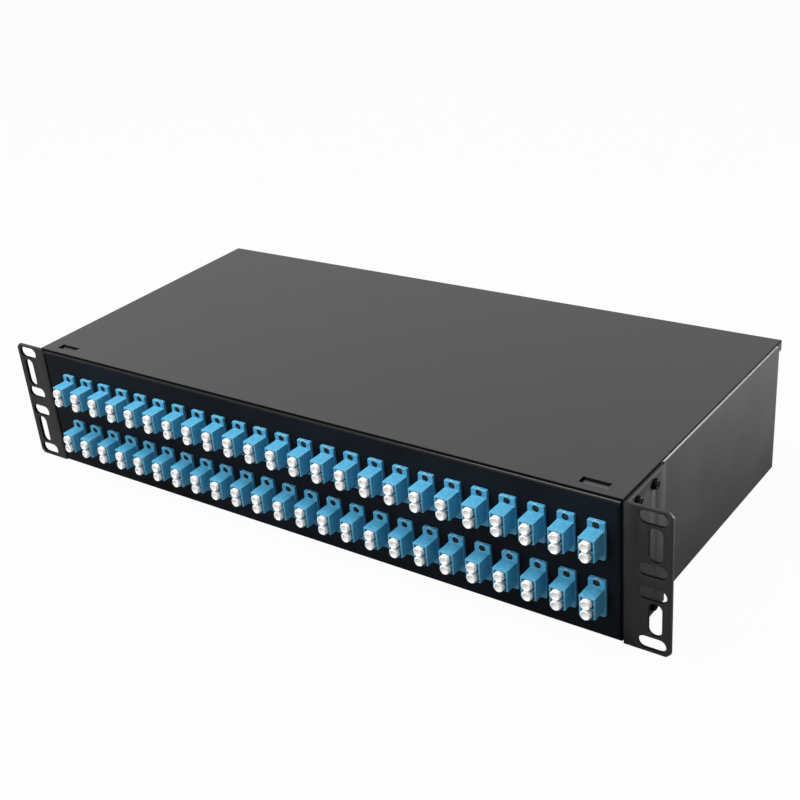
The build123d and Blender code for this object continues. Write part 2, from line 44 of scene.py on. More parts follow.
# Places and sizes of the object, in millimetres: x to the right, y to the rear, z up.
# Case: front face of plate and ears, underside, floor inside, rear wall, and cover with its screws
FRONT_Y = -2.0
BASE_Z = -42.8
FLOOR_TOP_Z = -41.6
BODY_WIDTH = 430.0
REAR_WALL_Y = 202.6
COVER_REAR_Y = 204.0
COVER_TOP_Z = 44.2
COVER_SCREW_XS = (-170.0, 0.0, 170.0)
COVER_SCREW_Z = 39.8
# Rack ears
RACK_WIDTH = 482.6
EAR_HEIGHT = 85.6
EAR_SHEET = 2.0
EAR_FLANGE_REAR_Y = 42.6
EAR_CORNER_CUT = 2.4
EAR_OUTER_BEND = 1.0
EAR_INNER_BEND = 0.9
EAR_SCREW_PLACES = [(y, z) for y in (10.0, 29.0) for z in (37.3, -37.3)]
SLOT_WIDTH = 7.6
# Middle x and z of each slot and its size along x and z: four level ones, then two upright ones
EAR_SLOTS = [(231.0, z, 15.6, SLOT_WIDTH) for z in (37.4, 7.05, -7.05, -37.4)]
EAR_SLOTS += [(232.55, z, SLOT_WIDTH, 20.0) for z in (22.225, -22.225)]
# Adapters, in two rows of four groups
ADAPTERS_PER_GROUP = 6
GROUPS_PER_ROW = 4
ADAPTER_PITCH = 17.05
GROUP_PITCH = 102.3
ROW_RISE = 34.8
FIRST_ADAPTER_X = -190.775
UPPER_ROW_Z = 17.5
ADAPTER_FRONT_Y = -14.5
ADAPTER_REAR_Y = 13.0
PORT_PITCH = 6.25
PORT_DROP = 0.4
SCREW_RISE = 8.7
# Cable glands and earth stud
GLAND_X = 165.0
GLAND_Z = -10.0
GLAND_FLATS = 24.0
EARTH_X = -60.0
EARTH_Z = -26.0
EARTH_FLATS = 10.0
# Splice trays; the studs stand this far to either side of a tray's middle
TRAY_X = 104.0
TRAY_Y = 124.0
TRAY_SIZE = (176.0, 104.0, 12.0)
TRAY_BASE_Z = -35.6
TRAY_WALL = 1.6
TRAY_CORNER = 20.0
STUD_REACH = 65.0
# Length of a cutter that goes right through a sheet or a thin wall
THROUGH = 8.0


# Camera at the photograph's place, turn and field of view


def set_camera():
    """The camera that was worked out from points of the photograph, with its image centre."""
    camera_data = bpy.data.cameras.new("camera")
    camera_data.lens = 58.13
    camera_data.sensor_width = 36.0
    camera_data.shift_x = 0.0904
    camera_data.shift_y = 0.0573
    camera_data.clip_end = 20.0
    camera = bpy.data.objects.new("camera", camera_data)
    camera.location = (0.46093, -0.49502, 0.37765)
    camera.rotation_euler = [math.radians(a) for a in (61.738, 6.21, 37.798)]
    bpy.context.collection.objects.link(camera)
    bpy.context.scene.camera = camera
    bpy.context.scene.view_settings.view_transform = "Standard"


set_camera()


# Materials


def srgb(hex_code):
    """A hex colour as linear red, green, blue and alpha."""
    parts = [int(hex_code[i:i + 2], 16) / 255 for i in (1, 3, 5)]
    return [c / 12.92 if c <= 0.04045 else ((c + 0.055) / 1.055) ** 2.4 for c in parts] + [1.0]


def add_node(tree, kind, settings=None, links=None):
    """Add a node, set its sockets or properties by name, and link its inputs by name or number."""
    node = tree.nodes.new(kind)
    for key, value in (settings or {}).items():
        if key in node.inputs:
            node.inputs[key].default_value = value
        else:
            setattr(node, key, value)
    for key, source in (links or {}).items():
        tree.links.new(source, node.inputs[key])
    return node


def finish(name, tones, patch_mm, roughness, grain_mm, grain_height_mm, settings, edge_wear_and_highlight_hex=None):
    """A finish whose colour and gloss drift over patches, with a fine grain, and edges painted
    lighter as wear and as a painted highlight.
    """
    material = bpy.data.materials.new(name)
    material.use_nodes = True
    tree = material.node_tree
    tree.nodes.clear()
    place = add_node(tree, "ShaderNodeTexCoord").outputs["Object"]
    drift = add_node(
        tree,
        "ShaderNodeTexNoise",
        {"Scale": 1 / (patch_mm * MM), "Detail": 3.0},
        {"Vector": place},
    ).outputs["Fac"]
    tone = add_node(tree, "ShaderNodeValToRGB", links={"Fac": drift})
    for stop, position, hex_code in zip(tone.color_ramp.elements, (0.35, 0.65), tones):
        stop.position = position
        stop.color = srgb(hex_code)
    gloss = add_node(
        tree,
        "ShaderNodeMapRange",
        {"To Min": roughness[0], "To Max": roughness[1]},
        {"Value": drift},
    )
    grain = add_node(
        tree,
        "ShaderNodeTexNoise",
        {"Scale": 1 / (grain_mm * MM), "Detail": 2.0},
        {"Vector": place},
    ).outputs["Fac"]
    bump = add_node(
        tree,
        "ShaderNodeBump",
        {"Strength": 0.2, "Distance": grain_height_mm * MM},
        {"Height": grain},
    )
    colour = tone.outputs["Color"]
    if edge_wear_and_highlight_hex:
        # An edge is where the rounded normal leaves the true one; it is painted lighter, partly as
        # wear and partly as a painted highlight, broken up by the grain
        rounded = add_node(tree, "ShaderNodeBevel", {"samples": 4, "Radius": 0.4 * MM})
        true_normal = add_node(tree, "ShaderNodeNewGeometry").outputs["True Normal"]
        turned = add_node(
            tree,
            "ShaderNodeVectorMath",
            {"operation": "DOT_PRODUCT"},
            {0: rounded.outputs["Normal"], 1: true_normal},
        )
        edge = add_node(
            tree,
            "ShaderNodeMapRange",
            {"From Min": 0.99, "From Max": 0.85},
            {"Value": turned.outputs["Value"]},
        )
        wear_and_highlight_mask = add_node(
            tree,
            "ShaderNodeMath",
            {"operation": "MULTIPLY"},
            {0: edge.outputs["Result"], 1: grain},
        )
        colour = add_node(
            tree,
            "ShaderNodeMixRGB",
            {"Color2": srgb(edge_wear_and_highlight_hex)},
            {"Fac": wear_and_highlight_mask.outputs[0], "Color1": colour},
        ).outputs["Color"]
    links = {
        "Base Color": colour,
        "Roughness": gloss.outputs["Result"],
        "Normal": bump.outputs["Normal"],
    }
    shader = add_node(tree, "ShaderNodeBsdfPrincipled", settings, links)
    add_node(tree, "ShaderNodeOutputMaterial", links={"Surface": shader.outputs["BSDF"]})
    return material


# Black polyester powder coat: satin, even, with a broad soft shine; its grain of about 0.2 mm is
# drawn at 0.45 mm so that it shows, and the edges are painted a little lighter, as rubbing and as a
# painted highlight
case_coat = finish(
    "black_powder_coat_on_steel",
    tones=("#161617", "#1b1b1c"),
    patch_mm=30.0,
    roughness=(0.42, 0.52),
    grain_mm=0.45,
    grain_height_mm=0.05,
    settings={"IOR": 1.5, "Specular IOR Level": 0.5},
    edge_wear_and_highlight_hex="#2c2c2d",
)
# Powder coat of the front plate, matt and blue-black: it takes hardly any shine
panel_coat = finish(
    "matt_blue_black_coat_on_panel_face",
    tones=("#090b0f", "#10161d"),
    patch_mm=60.0,
    roughness=(0.5, 0.6),
    grain_mm=0.45,
    grain_height_mm=0.04,
    settings={"IOR": 1.5, "Specular IOR Level": 0.08},
)
# A glossier copy of the coat on the fold at the top, which holds a narrow bright line from the
# lamp; its colour is darkened as painted shade, for the dark line along it
fold_coat_darkened_as_shade = finish(
    "glossy_fold_coat_darkened_as_shade",
    tones=("#040405", "#070708"),
    patch_mm=20.0,
    roughness=(0.2, 0.24),
    grain_mm=0.45,
    grain_height_mm=0.01,
    settings={"IOR": 1.5, "Specular IOR Level": 0.35},
)
# The case's powder coat on the ears and the pressed hooks, a shade darker as painted shade, with a
# weaker shine; its edges painted only a little lighter
darker_coat_as_shade = finish(
    "black_coat_darkened_as_shade",
    tones=("#101011", "#141415"),
    patch_mm=25.0,
    roughness=(0.44, 0.52),
    grain_mm=0.45,
    grain_height_mm=0.05,
    settings={"IOR": 1.5, "Specular IOR Level": 0.42},
    edge_wear_and_highlight_hex="#1a1a1b",
)
# Near-black dull coat painted on sheet edges and slot walls as painted shade, darker than the coat
# beside them
edge_painted_as_shade = finish(
    "dull_black_painted_as_shade",
    tones=("#030303", "#060606"),
    patch_mm=3.0,
    roughness=(0.6, 0.75),
    grain_mm=0.3,
    grain_height_mm=0.05,
    settings={"IOR": 1.5, "Specular IOR Level": 0.06},
)
# Moulded polyester plastic in a clear sky blue, semi-matt from a spark-eroded mould; its edges are
# painted pale blue as painted highlights
adapter_plastic = finish(
    "blue_pbt_moulding",
    tones=("#3d92b8", "#52a5c9"),
    patch_mm=1.6,
    roughness=(0.42, 0.52),
    grain_mm=0.4,
    grain_height_mm=0.03,
    settings={"IOR": 1.5, "Specular IOR Level": 0.5},
    edge_wear_and_highlight_hex="#8fd0ea",
)
# Soft white moulded polyethylene: light goes a little way in, so that shadows stay pale
plug_plastic = finish(
    "white_polyethylene_moulding",
    tones=("#f6f6f4", "#fbfbfa"),
    patch_mm=4.0,
    roughness=(0.38, 0.46),
    grain_mm=0.6,
    grain_height_mm=0.03,
    settings={
        "IOR": 1.5,
        "Specular IOR Level": 0.5,
        "Subsurface Weight": 0.15,
        "Subsurface Radius": (0.6 * MM, 0.6 * MM, 0.6 * MM),
        "Subsurface Scale": 1.0,
    },
)
# Moulded glass-filled nylon of the glands and rings: black, semi-matt, faintly streaked
nylon = finish(
    "black_nylon_moulding",
    tones=("#18181a", "#1d1d1e"),
    patch_mm=4.0,
    roughness=(0.42, 0.54),
    grain_mm=0.5,
    grain_height_mm=0.04,
    settings={"IOR": 1.53, "Specular IOR Level": 0.5},
    edge_wear_and_highlight_hex="#303031",
)
# Moulded grey ABS of the splice trays, with a light texture against glare
tray_plastic = finish(
    "grey_abs_moulding",
    tones=("#454849", "#4b4e50"),
    patch_mm=12.0,
    roughness=(0.45, 0.55),
    grain_mm=0.6,
    grain_height_mm=0.05,
    settings={"IOR": 1.54, "Specular IOR Level": 0.5},
    edge_wear_and_highlight_hex="#5e6163",
)
# The same ABS in a light grey, so that the combs stand out pale under the clear covers
comb_plastic = finish(
    "light_grey_abs_moulding",
    tones=("#acb0b2", "#b4b8ba"),
    patch_mm=6.0,
    roughness=(0.45, 0.55),
    grain_mm=0.6,
    grain_height_mm=0.04,
    settings={"IOR": 1.54, "Specular IOR Level": 0.5},
    edge_wear_and_highlight_hex="#c6cacc",
)
# Neoprene sealing ring: matt, slightly dusty
seal_rubber = finish(
    "black_neoprene_rubber",
    tones=("#141414", "#1c1c1c"),
    patch_mm=3.0,
    roughness=(0.65, 0.8),
    grain_mm=0.7,
    grain_height_mm=0.06,
    settings={"IOR": 1.5, "Specular IOR Level": 0.3},
)
# Blackened screw steel: a dark oxide over bright metal, brown where it thins
black_steel = finish(
    "blackened_screw_steel",
    tones=("#0a0908", "#17130f"),
    patch_mm=1.2,
    roughness=(0.22, 0.34),
    grain_mm=0.3,
    grain_height_mm=0.02,
    settings={"Metallic": 1.0},
    edge_wear_and_highlight_hex="#5c4a3a",
)
# The small screws of the adapters: a thinner, browner oxide; their edges are painted pale as a
# painted glint
browned_steel = finish(
    "browned_screw_steel",
    tones=("#100c0a", "#35281f"),
    patch_mm=0.8,
    roughness=(0.16, 0.26),
    grain_mm=0.3,
    grain_height_mm=0.03,
    settings={"Metallic": 1.0},
    edge_wear_and_highlight_hex="#b8a28e",
)
# Bright zinc on steel: cool grey with pale spangles and handling marks
zinc_steel = finish(
    "bright_zinc_plated_steel",
    tones=("#a9adb2", "#c3c5c8"),
    patch_mm=6.0,
    roughness=(0.28, 0.42),
    grain_mm=0.8,
    grain_height_mm=0.02,
    settings={"Metallic": 1.0},
    edge_wear_and_highlight_hex="#d6d8da",
)
# Turned brass, gone a little brown in the hollows
brass = finish(
    "turned_brass",
    tones=("#b8924a", "#d2ad62"),
    patch_mm=3.0,
    roughness=(0.22, 0.34),
    grain_mm=0.5,
    grain_height_mm=0.02,
    settings={"Metallic": 1.0},
    edge_wear_and_highlight_hex="#e2c27c",
)
# Clear polycarbonate sheet: nearly colourless and glossy, hazy from handling
clear_cover = finish(
    "clear_polycarbonate_sheet",
    tones=("#e2eaec", "#eaf2f4"),
    patch_mm=12.0,
    roughness=(0.06, 0.16),
    grain_mm=2.0,
    grain_height_mm=0.01,
    settings={"IOR": 1.58, "Transmission Weight": 0.92},
)


# Small hand tools: start a primitive, shape it in edit mode, finish it with modifiers. Lengths
# are in millimetres; in edit mode, faces and edges are found by their place in metres


def take(piece):
    """Select this piece alone and make it active."""
    bpy.ops.object.select_all(action="DESELECT")
    piece.select_set(True)
    bpy.context.view_layer.objects.active = piece


def settle(name):
    """Name the new primitive and put its place, turn and size into its mesh."""
    piece = bpy.context.object
    piece.name = name
    piece.data.name = name
    bpy.ops.object.transform_apply(location=True, rotation=True, scale=True)
    return piece


def block(name, centre, size):
    """Start a piece from a block."""
    bpy.ops.object.select_all(action="DESELECT")
    bpy.ops.mesh.primitive_cube_add(size=1, location=[c * MM for c in centre])
    bpy.context.object.scale = [s * MM for s in size]
    return settle(name)


def rod(name, centre, radius, length, axis="Y", sides=24, twist=0.0):
    """Start a piece from a rod along an axis, twisted about it by an angle in radians."""
    bpy.ops.object.select_all(action="DESELECT")
    turn = {"X": (0, math.pi / 2, 0), "Y": (math.pi / 2, twist, 0), "Z": (0, 0, twist)}[axis]
    bpy.ops.mesh.primitive_cylinder_add(
        vertices=sides,
        radius=radius * MM,
        depth=length * MM,
        location=[c * MM for c in centre],
        rotation=turn,
    )
    return settle(name)


def pick(piece, kind, test):
    """Open the piece in edit mode with the faces or edges that pass the test selected."""
    take(piece)
    bpy.ops.object.mode_set(mode="EDIT")
    bpy.ops.mesh.select_mode(type=kind)
    bpy.ops.mesh.select_all(action="DESELECT")
    mesh = bmesh.from_edit_mesh(piece.data)
    for item in mesh.faces if kind == "FACE" else mesh.edges:
        item.select_set(bool(test(item)))
    mesh.select_flush_mode()
    bmesh.update_edit_mesh(piece.data)


def put_down():
    """Leave edit mode."""
    bpy.ops.object.mode_set(mode="OBJECT")


def every(item):
    """A test that each face and edge passes."""
    return True


def runs_along(axis):
    """A test for edges that run along this axis."""
    index = "XYZ".index(axis)
    return lambda e: abs((e.verts[0].co - e.verts[1].co).normalized()[index]) > 0.99


def runs_across(axis):
    """A test for edges that don't run along this axis."""
    along = runs_along(axis)
    return lambda e: not along(e)


def lies_at(coordinate, place):
    """Whether a coordinate of the mesh, in metres, is at this place to a tenth of a millimetre."""
    return abs(coordinate - place) < MM / 10


def faces_to(direction, past=None):
    """A test for faces whose normal points this way and, if asked, that lie past this place."""
    way = Vector(direction)

    def test(face):
        if face.normal.dot(way) < 0.9:
            return False
        return past is None or face.calc_center_median().dot(way) > past * MM

    return test


def round_edges(piece, test, radius, segments):
    """Round the edges that pass the test, or chamfer them with one segment."""
    pick(piece, "EDGE", test)
    bpy.ops.mesh.bevel(offset=radius * MM, segments=segments, affect="EDGES")
    put_down()


def push_faces(piece, test, inset, shift):
    """Inset the faces that pass the test, then extrude them by this shift."""
    pick(piece, "FACE", test)
    bpy.ops.mesh.inset(thickness=inset * MM, depth=0)
    bpy.ops.mesh.extrude_region_move(TRANSFORM_OT_translate={"value": [s * MM for s in shift]})
    put_down()


def apply_modifier(piece, kind, settings):
    """Put a modifier on the piece and apply it."""
    take(piece)
    modifier = piece.modifiers.new(kind.lower(), kind)
    for key, value in settings.items():
        setattr(modifier, key, value)
    bpy.ops.object.modifier_apply(modifier=modifier.name)


def cut(piece, *cutters):
    """Cut each cutter's shape out of the piece."""
    for cutter in cutters:
        settings = {"operation": "DIFFERENCE", "object": cutter, "solver": "EXACT"}
        apply_modifier(piece, "BOOLEAN", settings)
        bpy.data.objects.remove(cutter)


def ease(piece, radius):
    """Round the sharp edges a little, as a tool or a coat of paint leaves them."""
    settings = {
        "width": radius * MM,
        "segments": 2,
        "limit_method": "ANGLE",
        "angle_limit": math.radians(40),
    }
    apply_modifier(piece, "BEVEL", settings)


def smooth(piece, angle=35):
    """Shade the piece smooth, apart from edges sharper than this angle."""
    take(piece)
    bpy.ops.object.shade_smooth_by_angle(angle=math.radians(angle))


def keep_flats_even(piece):
    """Let the large faces lead the shading, so that flats stay even up to their rounded edges."""
    apply_modifier(piece, "WEIGHTED_NORMAL", {"keep_sharp": True})


def join(name, parts):
    """Make one piece of several."""
    bpy.ops.object.select_all(action="DESELECT")
    for part in parts:
        part.select_set(True)
    bpy.context.view_layer.objects.active = parts[0]
    bpy.ops.object.join()
    piece = bpy.context.object
    piece.name = name
    piece.data.name = name
    return piece


def repeat(piece, count, shift):
    """Repeat the piece this many times, each shifted by so much from the one before."""
    settings = {
        "count": count,
        "use_relative_offset": False,
        "use_constant_offset": True,
        "constant_offset_displace": [s * MM for s in shift],
    }
    apply_modifier(piece, "ARRAY", settings)


def copy_to(piece, name, shift):
    """A copy with its own mesh, moved by this shift."""
    take(piece)
    bpy.ops.object.duplicate()
    bpy.ops.transform.translate(value=[s * MM for s in shift])
    return settle(name)


def flip(piece, scale):
    """Turn the piece over through the middle of the frame, its faces still pointing outwards."""
    take(piece)
    piece.scale = scale
    bpy.ops.object.transform_apply(location=True, rotation=True, scale=True)
    pick(piece, "FACE", every)
    bpy.ops.mesh.normals_make_consistent(inside=False)
    put_down()


def mirrored(piece, name):
    """A copy on the other side of the middle of the case."""
    twin = copy_to(piece, name, (0, 0, 0))
    flip(twin, (-1, 1, 1))
    return twin


def hexagon(name, centre, flats, length, axis="Y", chamfer=0.5):
    """A nut-like block with a flat on top, chamfered at both ends."""
    corner_radius = flats / math.sqrt(3)
    piece = rod(name, centre, corner_radius, length, axis, sides=6, twist=math.pi / 6)
    round_edges(piece, runs_across(axis), radius=chamfer, segments=1)
    return piece


def threaded(name, centre, radius, length, pitch, axis="Y", bore=0.0):
    """A rod, bored if asked, whose thread is drawn as one rounded ring per turn."""
    way = Vector([axis == letter for letter in "XYZ"])
    core = rod(name, centre, radius - pitch / 2, length, axis)
    first = Vector(centre) - way * (length - pitch) / 2
    ring = rod("thread_ring", first, radius, pitch * 0.6, axis)
    round_edges(ring, runs_across(axis), radius=pitch / 5, segments=1)
    if bore:
        for piece in (core, ring):
            cut(piece, rod("bore_cutter", centre, radius=bore, length=2 * length, axis=axis))
    repeat(ring, int(length / pitch), way * pitch)
    return join(name, [core, ring])


def rounded_slab(name, centre, size, corner):
    """A level slab with its four upright corners rounded."""
    slab = block(name, centre, size)
    round_edges(slab, runs_along("Z"), radius=corner, segments=6)
    return slab


def coated_copy(node_name, name, radius):
    """A copy of a folded sheet with its flats merged and its cut edges eased."""
    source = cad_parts[node_name]
    piece = bpy.data.objects.new(name, source.data.copy())
    piece.data.name = name
    piece.matrix_world = source.matrix_world
    bpy.context.collection.objects.link(piece)
    take(piece)
    bpy.ops.object.transform_apply(location=True, rotation=True, scale=True)
    pick(piece, "FACE", every)
    bpy.ops.mesh.remove_doubles(threshold=MM / 100)
    bpy.ops.mesh.dissolve_limited(angle_limit=math.radians(1))
    bpy.ops.mesh.normals_make_consistent(inside=False)
    put_down()
    ease(piece, radius)
    smooth(piece, angle=40)
    keep_flats_even(piece)
    return piece


def paint_faces(piece, material, test):
    """Give the faces that pass the test a further finish."""
    piece.data.materials.append(material)
    for polygon in piece.data.polygons:
        if test(polygon):
            polygon.material_index = len(piece.data.materials) - 1


def hand_over(piece, material, slot, body, *nodes):
    """Give the piece its finish, the body that it moves with and the solids that it stands for."""
    piece.data.materials.clear()
    piece.data.materials.append(material)
    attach(piece, body)
    if nodes:
        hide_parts(*nodes)


# Rack ears


def in_slot_wall(face):
    """A face of a slot's wall: across the sheet, clear of the bend and of the outer edges."""
    bend_room, edge_room = 4, 1.2
    across, _, height = (abs(c) / MM for c in face.center)
    if not BODY_WIDTH / 2 + bend_room < across < RACK_WIDTH / 2 - edge_room:
        return False
    return height < EAR_HEIGHT / 2 - edge_room and abs(face.normal.y) < 0.9


def make_ears():
    """Right ear of 2 mm sheet, bent once, with six slots and four screw holes; then its mirror."""
    middle_x = (BODY_WIDTH + RACK_WIDTH) / 4
    face_size = ((RACK_WIDTH - BODY_WIDTH) / 2, EAR_SHEET, EAR_HEIGHT)
    ear = block("right_ear_bracket", (middle_x, FRONT_Y / 2, 0), face_size)
    corner_x = BODY_WIDTH / 2 * MM
    inner_x = (BODY_WIDTH / 2 + EAR_SHEET) * MM
    tip_x = RACK_WIDTH / 2 * MM
    upright, level = runs_along("Z"), runs_along("Y")
    # A loop next to the case, from which the flange is pulled to the rear
    pick(ear, "FACE", every)
    bpy.ops.mesh.bisect(plane_co=(inner_x, 0, 0), plane_no=(1, 0, 0))
    put_down()
    pick(ear, "FACE", lambda f: f.normal.y > 0.9 and f.calc_center_median().x < inner_x)
    pull = (0, EAR_FLANGE_REAR_Y * MM, 0)
    bpy.ops.mesh.extrude_region_move(TRANSFORM_OT_translate={"value": pull})
    put_down()

    def on_outer_bend(edge):
        place = edge.verts[0].co
        return upright(edge) and lies_at(place.x, corner_x) and place.y < -MM

    def on_inner_bend(edge):
        place = edge.verts[0].co
        return upright(edge) and lies_at(place.x, inner_x) and lies_at(place.y, 0)

    def on_outer_corner(edge):
        return level(edge) and lies_at(edge.verts[0].co.x, tip_x)

    round_edges(ear, on_outer_bend, radius=EAR_OUTER_BEND, segments=6)
    round_edges(ear, on_inner_bend, radius=EAR_INNER_BEND, segments=4)
    round_edges(ear, on_outer_corner, radius=EAR_CORNER_CUT, segments=1)
    for x, z, along_x, along_z in EAR_SLOTS:
        slot = block("slot_cutter", (x, FRONT_Y / 2, z), (along_x, THROUGH, along_z))
        round_edges(slot, level, radius=SLOT_WIDTH / 2 - 0.02, segments=8)
        cut(ear, slot)
    for y, z in EAR_SCREW_PLACES:
        hole = (BODY_WIDTH / 2 + EAR_SHEET / 2, y, z)
        cut(ear, rod("hole_cutter", hole, radius=1.8, length=THROUGH, axis="X", sides=16))
    ease(ear, radius=0.12)
    smooth(ear, angle=40)
    left = mirrored(ear, "left_ear_bracket")
    hand_over(ear, darker_coat_as_shade, "black_powder_coat", "case", "right_rack_ear")
    hand_over(left, darker_coat_as_shade, "black_powder_coat", "case", "left_rack_ear")
    # The slots' walls are painted dark as shade
    for piece in (ear, left):
        paint_faces(piece, edge_painted_as_shade, in_slot_wall)


make_ears()


# Screws


def make_screw(name, seat, axis, radius, height, recess_depth, sides=20, segments=4):
    """Pan head with a cross recess; it stands on its seat and points along the axis, as in +X."""
    way = Vector([axis[1] == letter for letter in "XYZ"]) * (1 if axis[0] == "+" else -1)
    place = Vector(seat)
    top = place + way * height
    head = rod(name, place + way * height / 2, radius, height, axis[1], sides)
    pick(head, "FACE", faces_to(way, top.dot(way) - 0.1))
    crown = min(height, radius) * 0.45
    bpy.ops.mesh.bevel(offset=crown * MM, segments=segments, affect="EDGES")
    put_down()
    span, width, depth = radius * 1.15, radius * 0.24, recess_depth * 2
    if axis[1] == "X":
        arms = ((depth, span, width), (depth, width, span))
    else:
        arms = ((span, depth, width), (width, depth, span))
    for arm in arms:
        cut(head, block("recess_cutter", top, arm))
    smooth(head, angle=40)
    return head


def make_ear_screws():
    """Four pan head screws on each flange, blackened."""
    flange_x = BODY_WIDTH / 2 + EAR_SHEET
    heads = [
        make_screw("ear_screw", (flange_x, y, z), "+X", radius=3.1, height=2.2, recess_depth=1.3)
        for y, z in EAR_SCREW_PLACES
    ]
    right = join("right_ear_pan_screws", heads)
    left = mirrored(right, "left_ear_pan_screws")
    hand_over(right, black_steel, "black_screw", "case", "right_ear_screws")
    hand_over(left, black_steel, "black_screw", "case", "left_ear_screws")


def make_cover_screws():
    """Three small pan head screws in the cover's lip."""
    seats = [(x, COVER_REAR_Y, COVER_SCREW_Z) for x in COVER_SCREW_XS]
    heads = [
        make_screw("cover_screw", seat, "+Y", radius=2.6, height=1.9, recess_depth=1.1)
        for seat in seats
    ]
    screws = join("cover_pan_screws", heads)
    hand_over(screws, black_steel, "black_screw", "cover", "top_cover_screws")


make_ear_screws()
make_cover_screws()


# Adapters, their screws and their dust plugs: one of each is made, then repeated


def make_adapter_model():
    """Duplex adapter: body through the panel, flange with two screw seats, keyed ports each end."""
    x, z = FIRST_ADAPTER_X, UPPER_ROW_Z
    body_width, body_height = 9.2, 13.0
    flange_width, flange_thickness, flange_height = 9.8, 2.1, 22.4
    length = ADAPTER_REAR_Y - ADAPTER_FRONT_Y
    middle = (x, ADAPTER_REAR_Y - length / 2, z)
    body = block("adapter_model", middle, (body_width, length, body_height))
    round_edges(body, every, radius=0.25, segments=2)
    # The cutters stand a little out of the body's ends; the key is the notch over each port
    port_cutter, key_cutter = (7.5, 9.0, 5.6), (3.2, 8.8, 0.7)
    port_inset, key_rise = 4.2, 2.9
    for port_y in (ADAPTER_FRONT_Y + port_inset, ADAPTER_REAR_Y - port_inset):
        for dz in (-PORT_PITCH / 2, PORT_PITCH / 2):
            port_z = z + dz - PORT_DROP
            cut(
                body,
                block("port_cutter", (x, port_y, port_z), port_cutter),
                block("key_cutter", (x, port_y, port_z + key_rise), key_cutter),
            )
    flange_size = (flange_width, flange_thickness, flange_height)
    flange = block("adapter_flange", (x, FRONT_Y - flange_thickness / 2, z), flange_size)
    round_edges(flange, runs_along("Y"), radius=0.9, segments=2)
    rim_y = (FRONT_Y - 2) * MM
    round_edges(flange, lambda e: max(v.co.y for v in e.verts) < rim_y, radius=0.25, segments=1)
    for side in (-1, 1):
        seat = (x, FRONT_Y - flange_thickness, z + side * SCREW_RISE)
        cut(flange, rod("seat_cutter", seat, radius=2.1, length=2.6, sides=16))
    gate = (x - 0.4, FRONT_Y - 1.1, z + flange_height / 2)
    nub = block("flange_gate", gate, (2.0, 1.0, 0.7))
    round_edges(nub, every, radius=0.25, segments=1)
    # A step round the body behind the panel, where the two halves are welded
    weld_y, weld_step = 6.6, 0.3
    weld_size = (body_width + weld_step, 0.8, body_height + weld_step)
    weld = block("adapter_weld", (x, weld_y, z), weld_size)
    round_edges(weld, every, radius=0.2, segments=1)
    adapter = join("adapter_model", [body, flange, nub, weld])
    smooth(adapter)
    return adapter


def make_plug_model():
    """Dust plug: round head with a chamfered rim and a dish, and a square shank in the port."""
    x, z = FIRST_ADAPTER_X, UPPER_ROW_Z - PORT_PITCH / 2 - PORT_DROP
    head_radius, head_thickness = 3.0, 2.4
    shank_width, shank_length = 4.4, 6.0
    head_rear_y = ADAPTER_FRONT_Y - 0.2
    head_front_y = head_rear_y - head_thickness
    middle = (x, (head_front_y + head_rear_y) / 2, z)
    head = rod("plug_model", middle, head_radius, head_thickness, sides=16)
    front_face = faces_to((0, -1, 0), -head_front_y - 0.1)
    pick(head, "FACE", front_face)
    bpy.ops.mesh.bevel(offset=0.55 * MM, segments=1, affect="EDGES")
    put_down()
    pick(head, "FACE", front_face)
    bpy.ops.mesh.inset(thickness=1.0 * MM, depth=-0.8 * MM)
    put_down()
    shank_size = (shank_width, shank_length, shank_width)
    shank = block("plug_shank", (x, head_rear_y + 2.9, z), shank_size)
    plug = join("plug_model", [head, shank])
    smooth(plug, angle=60)
    return plug


def make_adapter_screw_model():
    """Small screw, sunk in the seat of an adapter's flange."""
    return make_screw(
        "adapter_screw_model",
        (FIRST_ADAPTER_X, FRONT_Y - 1.1, UPPER_ROW_Z - SCREW_RISE),
        "-Y",
        radius=1.95,
        height=0.9,
        recess_depth=0.5,
        sides=12,
        segments=1,
    )


def make_rows():
    """Eight groups of six adapters, with their screws and with plugs in front and behind."""
    adapter = make_adapter_model()
    plug = make_plug_model()
    screw = make_adapter_screw_model()
    repeat(plug, 2, (0, 0, PORT_PITCH))
    repeat(screw, 2, (0, 0, 2 * SCREW_RISE))
    for model in (adapter, plug, screw):
        repeat(model, ADAPTERS_PER_GROUP, (ADAPTER_PITCH, 0, 0))
    rear_plug = copy_to(plug, "rear_plug_model", (0, -ADAPTER_FRONT_Y - ADAPTER_REAR_Y, 0))
    flip(rear_plug, (1, -1, 1))
    for row, drop in (("upper", 0.0), ("lower", -ROW_RISE)):
        for group in range(GROUPS_PER_ROW):
            shift = (group * GROUP_PITCH, 0, drop)
            number = group + 1
            piece = copy_to(adapter, f"{row}_adapter_mouldings_{number}", shift)
            hand_over(piece, adapter_plastic, "blue_plastic", "case", f"{row}_adapters_{number}")
            piece = copy_to(screw, f"{row}_adapter_screws_{number}", shift)
            hand_over(piece, browned_steel, "black_screw", "case")
            piece = copy_to(plug, f"{row}_plug_mouldings_{number}", shift)
            plugs_node = f"{row}_dust_plugs_{number}"
            hand_over(piece, plug_plastic, "white_plastic", plugs_node, plugs_node)
            piece = copy_to(rear_plug, f"{row}_rear_plugs_{number}", shift)
            hand_over(piece, plug_plastic, "white_plastic", "case")
    for model in (adapter, plug, screw, rear_plug):
        bpy.data.objects.remove(model)


make_rows()


# Case: copies of the folded sheets with their flats merged and their edges eased


